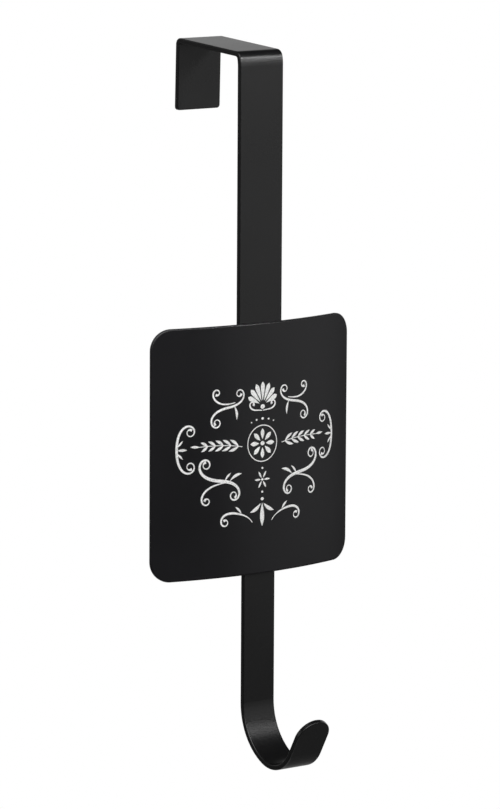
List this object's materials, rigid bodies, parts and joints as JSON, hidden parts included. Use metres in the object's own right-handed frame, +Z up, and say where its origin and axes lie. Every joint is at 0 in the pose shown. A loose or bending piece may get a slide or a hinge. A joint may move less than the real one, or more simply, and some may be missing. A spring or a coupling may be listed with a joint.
{
  "type": "door hook",
  "caption": "Black steel over-door hook: a flat strap bent over the door's top edge, a gently curved square plate on its front and a single curled hook below.",
  "frame": {"origin": "middle of the bridge's underside, where the door's top edge seats", "axes": "+X to the right seen from the front, +Y towards the door, +Z up along the strap"},
  "size_m": [0.1156, 0.0953, 0.3362],
  "materials": {
    "black_powder_coat": "satin black powder coat on steel"
  },
  "bodies": {
    "root": {"over_door_strip": "black_powder_coat", "curved_plate": "black_powder_coat", "hook_strip": "black_powder_coat"}
  },
  "joints": []
}
